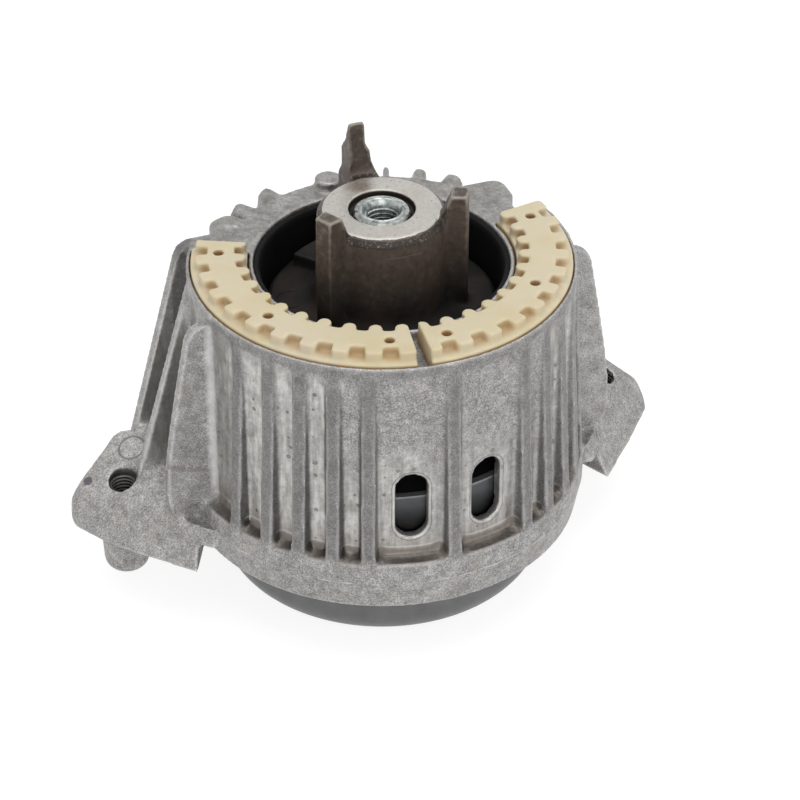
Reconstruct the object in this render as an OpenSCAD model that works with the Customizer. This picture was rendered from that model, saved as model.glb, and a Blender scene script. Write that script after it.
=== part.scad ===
// Fluid-filled engine mount. A die-cast housing with two threaded ears holds a
// cast core on a bonded rubber cone. Two grooved travel-stop pads lie in the
// rim, and a split orifice plate, a decoupler, a rolling diaphragm and a
// pressed cap close the fluid side below.
// Millimetres, +Z up. The origin is on the core's axis, on the flat underside
// of the cap. The ears lie along X and the housing's windows face -Y.

/* [Core] */
// Height of the core's machined face above the cap's underside
face_z = 149.3; // [148:0.1:151]
// Diameter of the machined face
face_d = 42; // [40:0.5:43]
// Height of the two short lugs above the face
lug_rise = 8.5; // [6:0.5:11]
// Height of the tall prong above the face
prong_rise = 20.5; // [16:0.5:24]
// Angle between a short lug and the X axis
lug_angle = 27.4; // [25:0.1:30]
// Outer diameter of the core's skirt, where the rubber starts
skirt_d = 62; // [60:0.5:64]
// Outer diameter of the threaded insert
insert_d = 20.8; // [19:0.1:21.5]
// Minor diameter of the insert's M12 thread
core_thread_d = 10.2; // [9.8:0.1:10.6]

/* [Rim and pads] */
// Height of the housing's rim
rim_z = 127.6; // [127:0.1:129]
// Diameter of the opening round the core
throat_d = 93.2; // [92.6:0.1:94]
// Outer diameter of the pad groove
groove_d = 139.2; // [138.6:0.1:139.4]
// Depth of the pad groove
groove_depth = 4.4; // [4:0.1:5]
// Thickness of a pad
pad_t = 9; // [8:0.1:10]
// Angle that one pad covers
pad_span = 105.6; // [104:0.1:106]
// Notches along each edge of a pad
notches = 10; // [9:1:10]

/* [Housing] */
// Diameter of the smooth wall between the ribs
wall_d = 140; // [139.6:0.1:140.6]
// Thickness of the cast wall
wall_t = 4; // [3.6:0.1:4.4]
// Width of a front rib
rib_w = 5.3; // [4.5:0.1:6]
// Diameter over the ribs at the parting line
parting_d = 152; // [151:0.5:153]
// Height of the parting line
parting_z = 37.3; // [36:0.1:38]
// Height of the ledge where the flutes end
ledge_z = 45.8; // [45:0.1:47]
// Height of the housing's underside
base_z = 25.3; // [25:0.1:25.6]
// Width of a window
window_w = 11.5; // [10:0.1:12.5]
// Height of a window
window_h = 27.3; // [24:0.1:29]

/* [Ears] */
// Distance between the two ear holes
ear_pitch = 195; // [193:0.5:197]
// Distance of the ear holes behind the core's axis
ear_y = 15.6; // [14:0.1:17]
// Minor diameter of the ears' M10 threads
ear_thread_d = 8.5; // [8.3:0.1:8.8]
// Diameter of the round boss under an ear
boss_d = 18.4; // [17.6:0.1:19]
// Height of the boss's lower end
boss_z = 3; // [2:0.1:8]

/* [Fluid side] */
// Outer diameter of the bottom cap
cap_d = 123.8; // [122:0.2:124.4]
// Radius of the cap's lower corner
cap_corner = 12; // [10:0.5:14]
// Sheet thickness of the cap
cap_t = 1.8; // [1.5:0.1:2.2]
// Thickness of the spring's steel ring
ring_t = 2.9; // [2.4:0.1:3.2]
// Height of the ring's upper edge, seen in the windows
ring_z = 68.4; // [67:0.1:70]

/* [Hidden] */
$fn = 96;

cast_light = "#b4b4b2";
cast_brown = "#4a4039";
zinc = "#b9bcbd";
cream = "#d2c4a4";
rubber = "#1d1b1a";
steel_dark = "#4d5157";
polymer = "#2b2d30";
cap_grey = "#6e6e6e";

wall_r = wall_d / 2;
bore_r = wall_r - wall_t;
throat_r = throat_d / 2;
groove_r = groove_d / 2;
collar_r = groove_r + 1.4;
parting_r = parting_d / 2;
ear_x = ear_pitch / 2;

// Levels of the clamped stack, from the rolled lip up to the spring ring
lip_z = base_z + 1.5;
flange_z = lip_z + 2;
bead_z = flange_z + 2;
plate_z = bead_z + 1.5;
shoulder_z = plate_z + 2;
recess_r = wall_r - 1;
clamp_r = recess_r - 0.3;
split_z = plate_z + 6;
plate_top_z = split_z + 8;
fit = 0.05;
ring_r = bore_r - 0.3;
ring_in_r = ring_r - ring_t;

// The throat tube, the groove floor and the relieved back of the wall
tube_z = 86;
floor_z = rim_z - groove_depth;
ceiling_z = floor_z - 5;
tube_r = throat_r + 4;
back_r = 58.5;
back_y = 36;
end_y = 14;

// Front ribs, counted from -Y, and the windows between them
rib_steps = [0, 24.4, 34.4, 44.4, 54.5, 66];
window_step = 11.9;
window_z = 67.45;
// Back ribs as [angle, width, height of the crest above the rim]
back_ribs = [[125.4, 8.4, 0.8], [112, 7.4, 0.6], [68, 2.4, 0], [56.5, 5.2, 0.2], [44.7, 7.6, 0.3]];

pad_gap = [-98.1, 4.2];
pad_mid = [for (s = [-1, 1]) pad_gap[0] + s * (pad_gap[1] + pad_span) / 2];
pad_hole_step = pad_span / 2 - 7.8;
pad_in_r = throat_r + 2.2;
pad_out_r = groove_r - 0.3;
pad_top = floor_z + pad_t;
step_z = pad_top - 3.9;
notch_pitch = 10.18;
notch_shift = -0.75;
pad_hole_r = 59;

core_body_r = 23.4;
skirt_r = skirt_d / 2;
skirt_z = 98;
collar_z = 112;
collar_stop_r = 42;
plug_r = 15;
plug_z = 66;

module at_angle(a, r = 0) {
    rotate([0, 0, a]) translate([r, 0, 0]) children();
}

module ring(r_out, r_in, z0, z1) {
    difference() {
        translate([0, 0, z0]) cylinder(r = r_out, h = z1 - z0);
        translate([0, 0, z0 - 1]) cylinder(r = r_in, h = z1 - z0 + 2);
    }
}

module disc(r, z0, z1) {
    translate([0, 0, z0]) cylinder(r = r, h = z1 - z0);
}

// A ring between two radii that covers only the angles from a0 to a1
module arc_ring(r_out, r_in, z0, z1, a0, a1) {
    rotate([0, 0, a0])
        rotate_extrude(angle = a1 - a0)
            translate([r_in, z0]) square([r_out - r_in, z1 - z0]);
}

// A plate parallel to the XZ plane, drawn by its outline in X and Z
module xz_plate(outline, y0, y1) {
    translate([0, y1, 0]) rotate([90, 0, 0]) linear_extrude(y1 - y0) polygon(outline);
}

module both_sides() {
    children();
    mirror([1, 0, 0]) children();
}

// Points of an arc about c
function arc(c, r, a0, a1, n = 6) =
    [for (i = [0:n]) let (a = a0 + (a1 - a0) * i / n) c + r * [cos(a), sin(a)]];

// Housing

// The zone where the wall keeps its full radius. It ends sooner on the right,
// where the pad groove ends.
module front_zone(inset = 0) {
    translate([0, 0, 1]) linear_extrude(200)
        polygon([[-150, -150], [150, -150], [150, end_y - inset], [0, end_y - inset],
                 [0, back_y - inset], [-150, back_y - inset]]);
}

module wall_outside() {
    intersection() {
        disc(wall_r, base_z, rim_z);
        front_zone();
    }
    intersection() {
        disc(collar_r, floor_z + 0.6, rim_z);
        front_zone();
    }
    disc(back_r, base_z, rim_z);
    disc(wall_r, base_z, 68);
    translate([0, 0, 68]) cylinder(r1 = wall_r, r2 = back_r, h = 22);
}

module base_flange() {
    rotate_extrude() polygon([
        [bore_r - 1, base_z], [parting_r - 2.3, base_z], [parting_r - 0.1, parting_z],
        [parting_r - 0.5, ledge_z - 0.6], [parting_r - 1.1, ledge_z], [bore_r - 1, ledge_z]]);
}

module front_ribs() {
    rib_top_z = floor_z + 1;
    intersection() {
        difference() {
            translate([0, 0, parting_z])
                cylinder(r1 = parting_r, r2 = collar_r, h = rib_top_z - parting_z);
            disc(wall_r - 1, parting_z - 1, rib_top_z + 1);
        }
        union() {
            for (s = [-1, 1], a = rib_steps)
                if (a > 0 || s > 0)
                    at_angle(-90 + s * a)
                        translate([wall_r - 5, -rib_w / 2, 0]) cube([20, rib_w, 200]);
        }
    }
}

// A rib on the back of the wall, with a round crest that lies across the rim
module back_rib(w, crest) {
    end_r = 65.5;
    axis_z = rim_z + crest - w / 2;
    xz_plate([[back_r - 4, axis_z], [end_r, axis_z], [end_r + 1, rim_z - 9],
              [parting_r - 2, ledge_z], [parting_r - 2, ledge_z - 4], [back_r - 4, ledge_z - 4]], -w / 2, w / 2);
    translate([throat_r + 5, 0, axis_z]) rotate([0, 90, 0])
        cylinder(r = w / 2, h = end_r - throat_r - 5);
}

module back_lugs() {
    for (b = back_ribs) at_angle(b[0]) back_rib(b[1], b[2]);
    translate([-45.5, 41.5, 62]) cylinder(r = 6.5, h = rim_z - 62);
    translate([-43.6, 43.2, rim_z - 10]) cylinder(r = 4, h = 10.8);
    translate([-1, 54.6, rim_z - 26]) cylinder(r = 5.1, h = 29.9);
    translate([0, 0, 62]) linear_extrude(rim_z - 62)
        polygon(concat([[40, 12], [59.5, 12], [59, 18.6], [61.8, 25]], arc([57.2, 33], 4.6, 0, 90, 4), [[40, 37.6]]));
}

// The three gusset fins that carry each ear: rear, middle and front panel.
// The rear one starts further out on the left, where the pad groove reaches
// further round.
module fins() {
    mirror([1, 0, 0]) xz_plate([[44, rim_z], [61, rim_z], [64, rim_z - 0.6], [66.4, rim_z - 2.6],
        [68, rim_z - 6], [86.6, 51.3], [89, 42], [89, 30], [44, 30]], 33.5, 38.5);
    xz_plate([[44, rim_z - 2], [60, rim_z - 2], [62, rim_z - 8], [86.4, 51.3], [89, 42], [89, 30],
        [44, 30]], 33.5, 37.6);
    both_sides() {
        xz_plate([[58, rim_z - 1.8], [68.5, rim_z - 1.8], [70.2, rim_z - 4], [92.5, 45.3],
                  [92.5, 30], [58, 30]], 11.6, 15.2);
        difference() {
            xz_plate(concat([[58, 122.6]], arc([70.6, 114.6], 8, 80, 10, 5),
                     [[81.8, 98], [85, 79.5], [87, 66], [88, 52], [87.4, 44], [84.8, 38.6], [84.8, 30], [58, 30]]),
                -12, -7.4);
            foot_pit();
        }
    }
}

// Hollow at the foot of the front fin, behind the ear's front ridge
module foot_pit() {
    translate([0, 0, base_z + 13.2]) linear_extrude(7)
        polygon([[60, -11], [82, -11], [82, -13.6], [72.5, -24], [60, -30]]);
}

// Outlines of the ears seen from above, with a sharp front corner. The right
// ear is cut off further at the back.
ear_front = [[58, -12], [75, -12], [82.4, -27.2], [96.4, -12], [ear_x + 13, 3.2]];
left_ear = concat(ear_front, arc([ear_x + 12.8, 17], 7.3, -45, 50, 6),
    [[109.1, 27.1], [102.9, 31]], arc([93.4, 30.6], 5, 48, 100, 5), [[84, 33.4], [58, 37.2]]);
right_ear = concat(ear_front, arc([ear_x + 11.3, 11.5], 7, -40, 40, 6),
    [[105.4, 24.4], [100.6, 31], [96.6, 34.6], [84, 33.4], [58, 37.2]]);

// The ear's top falls outwards and forwards. It is the plane through
// z = ear_top[0] + ear_top[1] * x + ear_top[2] * y.
ear_top = [77.3, -0.39, 0.258];

module below_ear_top() {
    fall = norm([ear_top[1], ear_top[2]]);
    translate([0, 0, ear_top[0]]) rotate(atan(fall), [ear_top[2], -ear_top[1], 0])
        mirror([0, 0, 1]) translate([-20, -150, 0]) cube([200, 300, 150]);
}

// The front face leans back and rounds over into the top
module leaning_front() {
    translate([82.4, -27.2, base_z]) rotate([0, 0, 47]) translate([-60, 0, 0])
        rotate([90, 0, 90]) linear_extrude(140)
            polygon([[0, 0], [7.6, 13], [9.6, 15.5], [12.6, 18], [17, 20.4], [24, 22.8], [34, 25.2],
                     [60, 30], [90, 34], [90, 0]]);
}

module ear_body(outline) {
    intersection() {
        translate([0, 0, base_z]) linear_extrude(40) polygon(outline);
        below_ear_top();
        leaning_front();
    }
}

module ear_boss() {
    r = boss_d / 2;
    translate([ear_x, ear_y, 0]) rotate_extrude() polygon(concat(
        [[0, base_z + 6], [r + 0.5, base_z + 6], [r + 0.2, base_z - 2]],
        arc([r - 5.6, boss_z + 5], 5, 0, -90, 6), [[0, boss_z]]));
}

// The ear's front runs on into the base flange
module ear_root() {
    difference() {
        intersection() {
            translate([0, 0, base_z + 9]) linear_extrude(30)
                polygon([[60, -11], [60, -25.4], [71.2, -25.4], [81, -27], [77, -11]]);
            leaning_front();
        }
        foot_pit();
    }
}

module ears() {
    difference() {
        union() {
            ear_body(right_ear);
            mirror([1, 0, 0]) ear_body(left_ear);
        }
        both_sides() foot_pit();
    }
    both_sides() {
        ear_root();
        ear_boss();
    }
}

module ear_hole() {
    translate([ear_x, ear_y, boss_z + 8]) cylinder(d = ear_thread_d, h = 60);
    translate([ear_x, ear_y, 40.6])
        cylinder(r1 = ear_thread_d / 2, r2 = ear_thread_d / 2 + 2, h = 5.6);
}

module cavity() {
    difference() {
        union() {
            disc(bore_r, shoulder_z - 1, 70);
            intersection() {
                disc(bore_r, 69, ceiling_z);
                front_zone(4.5);
            }
            translate([0, 0, 70]) cylinder(r1 = bore_r, r2 = 54.5, h = 14);
            disc(54.5, 83, tube_z);
        }
        disc(tube_r, tube_z, ceiling_z + 1);
    }
    disc(throat_r, tube_z - 1, rim_z + 1);
    disc(bore_r + 0.5, base_z - 1, lip_z + 0.1);
    disc(recess_r, lip_z, shoulder_z);
}

module window() {
    r = window_w / 2;
    half = window_h / 2 - r;
    for (s = [-1, 1])
        translate([wall_r - 8, 0, window_z + s * half]) rotate([0, 90, 0]) cylinder(r = r, h = 16);
    translate([wall_r - 8, -r, window_z - half]) cube([16, window_w, 2 * half]);
}

module housing() {
    color(cast_light) difference() {
        union() {
            wall_outside();
            base_flange();
            front_ribs();
            back_lugs();
            fins();
            ears();
        }
        cavity();
        arc_ring(groove_r, throat_r + 1.7, floor_z, rim_z + 5,
                 pad_mid[0] - pad_span / 2 - 0.4, pad_mid[1] + pad_span / 2 + 0.4);
        for (s = [-1, 1]) at_angle(-90 + s * window_step) window();
        both_sides() ear_hole();
    }
}

// Travel-stop pads

// Teeth stand along +X, rounded towards their free ends
module pad_tooth_out(h) {
    w = 6.2;
    end_x = pad_out_r - 1.7;
    translate([60, -w / 2, 0]) cube([end_x - 1.5 - 60, w, h]);
    translate([60, -w / 2 + 1.5, 0]) cube([end_x - 60, w - 3, h]);
    for (s = [-1, 1]) translate([end_x - 1.5, s * (w / 2 - 1.5), 0]) cylinder(r = 1.5, h = h);
}

module pad_tooth_in(h) {
    r = 2.5;
    translate([pad_in_r + r + 0.4, 0, 0]) cylinder(r = r, h = h);
    translate([pad_in_r + r + 0.4, -r, 0]) cube([6, 2 * r, h]);
}

module stop_pad(mid) {
    half = pad_span / 2;
    inner = pad_in_r + 4.4;
    outer = pad_out_r - 6.2;
    tooth_z = floor_z + 1;
    tooth_h = pad_top - tooth_z;
    color(cream) rotate([0, 0, mid]) difference() {
        union() {
            arc_ring(pad_out_r, pad_in_r, floor_z, step_z, -half, half);
            arc_ring(outer, inner, tooth_z, pad_top, -half, half);
            translate([0, 0, tooth_z]) intersection() {
                arc_ring(pad_out_r - 1.6, pad_in_r + 0.2, 0, tooth_h, -half, half);
                union() {
                    for (i = [0:notches])
                        at_angle(notch_shift + notch_pitch * (i - notches / 2)) {
                            pad_tooth_out(tooth_h);
                            pad_tooth_in(tooth_h);
                        }
                }
            }
        }
        for (k = [-1, 0, 1]) at_angle(pad_hole_step * k, pad_hole_r) translate([0, 0, floor_z + 2])
            cylinder(r = 1.85, h = pad_t);
    }
}

module stop_pad_left() { stop_pad(pad_mid[0]); }

module stop_pad_right() { stop_pad(pad_mid[1]); }

// Core with its lugs

module core_shape() {
    rotate_extrude() polygon(concat([
        [0, plug_z], [plug_r, plug_z], [skirt_r, skirt_z], [skirt_r, collar_z - 7],
        [collar_stop_r - 1, collar_z - 5], [collar_stop_r, collar_z - 4], [collar_stop_r, collar_z - 1.5],
        [collar_stop_r - 1.5, collar_z]],
        arc([core_body_r + 7, collar_z + 6], 6, 270, 190, 7),
        [[core_body_r, face_z - 2.2], [face_d / 2 + 1, face_z - 0.9], [face_d / 2, face_z], [0, face_z]]));
}

// Raised block behind the face that meets the throat when the core rises
module rear_stop() {
    arc_ring(38, core_body_r - 3, collar_z - 2, collar_z + 5.5, 51, 129);
}

// A lug: its plan outline and its side outline both along +X
module lug(plan, side) {
    intersection() {
        linear_extrude(200) polygon(plan);
        xz_plate(side, -20, 20);
    }
}

module short_lug() {
    lug([[14, -4.6], [25, -4.2], [31.2, -3.5], [31.2, 3.5], [25, 4.2], [14, 4.6]],
        [[14, 104], [31.6, 104], [31.1, face_z + lug_rise], [25.2, face_z + lug_rise],
         [21.6, face_z - 0.6], [14, face_z - 0.6]]);
}

// The tall prong stands behind the face, with a stepped back and a flared foot
module prong() {
    top = face_z + prong_rise;
    intersection() {
        at_angle(90) lug([[14, -12], [40, -12], [40, 12], [14, 12]],
            [[14, 104], [34.4, 104], [34.2, top - 12.6], [31.4, top - 9.6], [29.4, top - 7],
             [29, top - 5], [27.6, top - 2.4], [27.2, top], [25.9, top], [25.4, face_z],
             [21.6, face_z - 0.6], [14, face_z - 0.6]]);
        xz_plate([[-4.4, 100], [8, 100], [7.4, face_z - 1], [5.6, face_z + 4], [5.2, face_z + 8],
                  [3.4, face_z + 11.5], [3, top - 1], [2.4, top], [-2.4, top], [-3, top - 0.8],
                  [-3, face_z], [-4.4, face_z - 3]], 10, 40);
    }
}

module core() {
    color(cast_brown) difference() {
        union() {
            core_shape();
            rear_stop();
            at_angle(-lug_angle) short_lug();
            at_angle(180 + lug_angle) short_lug();
            prong();
        }
        disc(insert_d / 2 + fit, face_z - 30, face_z - 2);
        disc(insert_d / 2 + 1.65, face_z - 3, face_z + 1);
    }
}

module threaded_insert() {
    top = face_z - 1;
    minor = core_thread_d / 2;
    color(zinc) difference() {
        disc(insert_d / 2, face_z - 30, top);
        disc(minor, face_z - 26, top + 1);
        translate([0, 0, top - 2.2]) cylinder(r1 = minor, r2 = minor + 2.25, h = 2.25);
    }
}

// Rubber

module throat_lining() {
    color(rubber) rotate_extrude() polygon(concat(
        [[throat_r - fit, tube_z]], [[throat_r - fit, rim_z - 1.2]],
        arc([throat_r - 1.5, rim_z - 2.2], 1, 60, 180, 5),
        [[throat_r - 2.3, tube_z + 2], [throat_r - 2.3, tube_z - 2],
         [tube_r, tube_z - 2], [tube_r, tube_z]]));
}

module main_spring() {
    color(rubber) rotate_extrude() polygon([
        [plug_r, plug_z], [1.4 * plug_r, plug_z], [0.7 * ring_in_r, 0.85 * ring_z],
        [0.86 * ring_in_r, 0.76 * ring_z], [ring_in_r, 0.745 * ring_z],
        [ring_in_r, ring_z - 1.2], [0.908 * ring_in_r, 1.023 * ring_z], [1.19 * skirt_r, 0.918 * skirt_z],
        [skirt_r, skirt_z]]);
}

module spring_ring() {
    color(steel_dark) {
        rotate_extrude() polygon([
            [ring_in_r, plate_z], [clamp_r, plate_z], [clamp_r, shoulder_z], [ring_r, shoulder_z],
            [ring_r, ring_z - 0.4], [ring_r - 0.4, ring_z], [ring_in_r, ring_z]]);
    }
}

// Orifice plates and decoupler

channel_in = 46;
channel_out = 56;
cage_r = 27;
cage_hole = 7;

module plate_ports(z0, z1, slot_angle) {
    disc(6, z0, z1);
    for (i = [0:7]) at_angle(45 * i, 16.5) disc(cage_hole / 2, z0, z1);
    arc_ring(channel_out - 1, channel_in + 1, z0, z1, slot_angle, slot_angle + 16);
}

module orifice_plate_upper() {
    color(polymer) difference() {
        disc(ring_in_r - fit, split_z, plate_top_z);
        arc_ring(channel_out, channel_in, split_z - 1, split_z + 4, 0, 300);
        disc(cage_r, split_z - 1, split_z + 2);
        plate_ports(split_z - 1, plate_top_z + 1, 2);
    }
}

module orifice_plate_lower() {
    color(polymer) difference() {
        union() {
            disc(ring_in_r - fit, bead_z, split_z);
            disc(clamp_r, bead_z, plate_z);
        }
        arc_ring(channel_out, channel_in, split_z - 4, split_z + 1, 0, 300);
        disc(cage_r, split_z - 3, split_z + 1);
        plate_ports(bead_z - 1, split_z + 1, 282);
    }
}

module decoupler_membrane() {
    color(rubber) {
        ring(cage_r - 0.2, cage_r - 3.4, split_z - 3, split_z + 2);
        disc(cage_r - 3, split_z - 1.5, split_z + 0.5);
    }
}

module rolling_diaphragm() {
    t = 2;
    r = cap_d / 2;
    h = bead_z - 1;
    mid = [[r - 3.5, h], [0.889 * r, 0.94 * h], [0.817 * r, 0.7 * h], [0.743 * r, 0.51 * h],
           [0.646 * r, 0.44 * h], [0.549 * r, 0.48 * h], [0.436 * r, 0.63 * h], [0.291 * r, 0.745 * h],
           [0.129 * r, 0.78 * h], [0, 0.78 * h]];
    color(rubber) union() {
        ring(clamp_r, cap_d / 2 - cap_t - 2.4, flange_z, bead_z);
        rotate_extrude() polygon(concat(
            mid, [for (i = [len(mid) - 1:-1:0]) mid[i] + [0, i == 0 ? -1 : -t]]));
    }
}

module bottom_cap() {
    r = cap_d / 2;
    color(cap_grey) rotate_extrude() polygon(concat(
        [[0, 0]], arc([r - cap_corner, cap_corner], cap_corner, -90, 0, 12),
        [[r, lip_z], [clamp_r, lip_z], [clamp_r, flange_z], [r - cap_t, flange_z]],
        arc([r - cap_corner, cap_corner], cap_corner - cap_t, 0, -90, 12), [[0, cap_t]]));
}

housing();
stop_pad_left();
stop_pad_right();
core();
threaded_insert();
throat_lining();
main_spring();
spring_ring();
orifice_plate_upper();
orifice_plate_lower();
decoupler_membrane();
rolling_diaphragm();
bottom_cap();
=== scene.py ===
# %% [markdown]
# # Engine mount
#
# This file dresses a finished CAD model of a fluid-filled engine mount. The
# solids come in as a fixed frame, in metres, with +Z up and the origin under
# the bottom cap. Everything below adds what a casting, a moulding and a
# turned part show to the eye, and nothing moves or resizes the solids.

# %% Load the frame
import math
from types import SimpleNamespace

import bmesh
import bpy
import numpy as np
from mathutils import Matrix, Vector


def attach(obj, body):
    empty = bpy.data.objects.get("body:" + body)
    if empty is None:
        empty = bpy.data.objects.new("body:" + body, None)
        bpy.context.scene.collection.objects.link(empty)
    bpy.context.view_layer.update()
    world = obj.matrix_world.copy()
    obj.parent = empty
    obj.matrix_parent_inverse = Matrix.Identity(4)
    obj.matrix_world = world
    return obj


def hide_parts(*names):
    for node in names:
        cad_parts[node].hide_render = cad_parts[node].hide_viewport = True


MM = 0.001
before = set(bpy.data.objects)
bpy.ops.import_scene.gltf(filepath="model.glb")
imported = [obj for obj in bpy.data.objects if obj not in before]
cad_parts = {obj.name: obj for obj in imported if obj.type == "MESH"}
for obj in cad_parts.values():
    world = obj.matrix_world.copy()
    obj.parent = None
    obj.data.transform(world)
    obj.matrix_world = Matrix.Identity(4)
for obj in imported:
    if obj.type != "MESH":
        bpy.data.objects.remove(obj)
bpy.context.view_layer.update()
print("nodes in the frame:", sorted(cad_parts))

# %% [markdown]
# ## The camera
#
# The photograph was taken with a long lens from the front left, looking down
# by about 35 degrees. A long lens keeps the ears at both ends the same size.
# It was solved from the round rim and the face of the core, so it is given
# here as a direction, a distance and the point that it looks past.

# %% Camera
CORE_FACE_Z = 149.3
LOOK_DOWN = math.radians(35.24)
TURN = math.radians(-21.0)
ROLL = math.radians(-0.19)
DISTANCE_MM = 1073.74
SHIFT_RIGHT_MM = -6.49
SHIFT_UP_MM = 68.91
LENS_MM = 135.0

forward = Vector((0, math.cos(LOOK_DOWN), -math.sin(LOOK_DOWN)))
level_up = Vector((0, math.sin(LOOK_DOWN), math.cos(LOOK_DOWN)))
level_right = Vector((1, 0, 0))
right = level_right * math.cos(ROLL) - level_up * math.sin(ROLL)
up = level_right * math.sin(ROLL) + level_up * math.cos(ROLL)
spot = -forward * DISTANCE_MM - right * SHIFT_RIGHT_MM - up * SHIFT_UP_MM


def new_object(name, data):
    """An object in the scene."""
    object_ = bpy.data.objects.new(name, data)
    bpy.context.scene.collection.objects.link(object_)
    return object_


def turned(v):
    """A direction or place turned about Z from the photograph's axes to the part's."""
    c, s = math.cos(TURN), math.sin(TURN)
    return Vector((v.x * c - v.y * s, v.x * s + v.y * c, v.z))


camera_data = bpy.data.cameras.new("camera")
camera_data.lens = LENS_MM
camera_data.sensor_width = 36.0
camera_data.clip_end = 20.0
camera = new_object("camera", camera_data)
axes = [turned(right), turned(up), -turned(forward)]
camera.rotation_mode = "QUATERNION"
camera.rotation_quaternion = Matrix(axes).transposed().to_quaternion()
camera.location = (turned(spot) + Vector((0, 0, CORE_FACE_Z))) * MM
bpy.context.scene.camera = camera
print("camera at", [round(c, 4) for c in camera.location])

# %% [markdown]
# ## Helpers
#
# Colours are written as the hex values that a picture editor shows, and one
# function turns them to the linear values that Blender works with. Another
# adds a node to any tree, with its settings and its links. Two more put nodes
# together in the two ways that every finish here needs. A zone is where
# several soft limits all hold. Layers are colours that lie over each other,
# each through a mask, as wear and dirt lie on a real skin. The scales of the
# patterns are worked out from sizes in millimetres.

# %% Colour and node helpers
NOISE = "ShaderNodeTexNoise"
RAMP = "ShaderNodeValToRGB"
MATH = "ShaderNodeMath"
VECTOR = "ShaderNodeVectorMath"
SPLIT = "ShaderNodeSeparateXYZ"
BUMP = "ShaderNodeBump"
SHADER = "ShaderNodeBsdfPrincipled"
OUTPUT = "ShaderNodeOutputMaterial"


def srgb(code, alpha=1.0):
    """A hex colour such as "#a0a0a0" as linear RGBA."""
    out = []
    for i in (1, 3, 5):
        v = int(code[i:i + 2], 16) / 255
        out.append(v / 12.92 if v <= 0.04045 else ((v + 0.055) / 1.055) ** 2.4)
    return (*out, alpha)


def add(tree, kind, inputs=None, stops=(), **settings):
    """Adds one node with its settings and links.

    inputs maps a socket's name or number to another node, a socket or a plain value. Of another
    node, the first output is taken. stops are the (place, hex colour) pairs of a colour ramp.
    """
    node = tree.nodes.new(kind)
    for key, value in settings.items():
        setattr(node, key, value)
    for i, (place, code) in enumerate(stops):
        elements = node.color_ramp.elements
        element = elements[i] if i < 2 else elements.new(place)
        element.position = place
        element.color = srgb(code)
    for key, value in (inputs or {}).items():
        if isinstance(value, bpy.types.Node):
            value = value.outputs[0]
        if isinstance(value, bpy.types.NodeSocket):
            tree.links.new(value, node.inputs[key])
        else:
            node.inputs[key].default_value = value
    return node


def new_material(name):
    """An empty material and its tree."""
    material = bpy.data.materials.new(name)
    material.use_nodes = True
    tree = material.node_tree
    tree.nodes.clear()
    return material, tree


def zone(tree, *limits):
    """A mask that is 1 where every limit holds and fades to 0 past each.

    A limit is a mask, a plain strength, or a value with the two numbers between which it comes to
    hold. Two more numbers say what the mask is there, where that isn't 0 and 1.
    """
    mask = None
    for limit in limits:
        if isinstance(limit, tuple):
            value, begin, end, low, high = limit if len(limit) == 5 else (*limit, 0.0, 1.0)
            limit = add(tree, "ShaderNodeMapRange", {
                "Value": value, "From Min": begin, "From Max": end, "To Min": low, "To Max": high},
                clamp=True)
        mask = limit if mask is None else add(tree, MATH, {0: mask, 1: limit}, operation="MULTIPLY")
    return mask


def layered(tree, base, *layers):
    """A colour with others laid over it, each as (mask, colour) or (mask, colour, way of blending)."""
    for mask, colour, *blend in layers:
        if isinstance(colour, str):
            colour = srgb(colour)
        base = add(tree, "ShaderNodeMix", {"Factor": mask, 6: base, 7: colour},
                   data_type="RGBA", blend_type=blend[0] if blend else "MIX").outputs[2]
    return base


def lumps(size_mm):
    """The scale at which the lumps of a noise are about size_mm across."""
    return 1 / (size_mm * MM * 2)


def cells(size_mm):
    """The scale at which the cells of a Voronoi pattern are size_mm apart."""
    return 1 / (size_mm * MM)


def tool_marks(feed_mm):
    """The scale at which the rings of a wave are feed_mm apart, as the node has 20 radians in a unit."""
    return 2 * math.pi / 20 / (feed_mm * MM)


# %% [markdown]
# ## As-cast aluminium
#
# The housing is pressure die cast and then tumbled with shot. The ribs and
# flanges, which the shot reaches, are speckled with dark and light grains a
# few tenths of a millimetre wide. The floors of the flutes, which it reaches
# less, keep the smoother and brighter skin of the die, with a few dark
# specks. Cast metal is drawn as a metal with a broad, soft highlight.
#
# The finish depends on the place, so masks come first. Each is a number from
# 0 to 1 over the whole part, worked out from the distance to the axis, the
# height and the way that a face looks. Heights and places are in metres here,
# as Object coordinates are. Sizes with a name in capitals are in millimetres,
# and so are distances from the axis.

# %% Where the housing's skin differs
EAR_X = 97.5
EAR_Y = 15.6
EAR_MINOR_R = 4.25
EAR_MAJOR_R = 4.95
WALL_R = 70.0
WINDOW_HALF_PITCH = 14.54
WINDOW_MIDDLE_Z = 67.45
WINDOW_HALF_STRAIGHT = 7.9
WINDOW_STEP_R = 7.15
FRONT_ON_WALL = WALL_R * math.pi / 2


def from_axis(tree, place):
    """How far a point is from the part's axis, in millimetres."""
    flat = add(tree, VECTOR, {0: place, 1: (1000.0, 1000.0, 0.0)}, operation="MULTIPLY")
    return add(tree, VECTOR, {0: flat}, operation="LENGTH").outputs["Value"]


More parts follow.
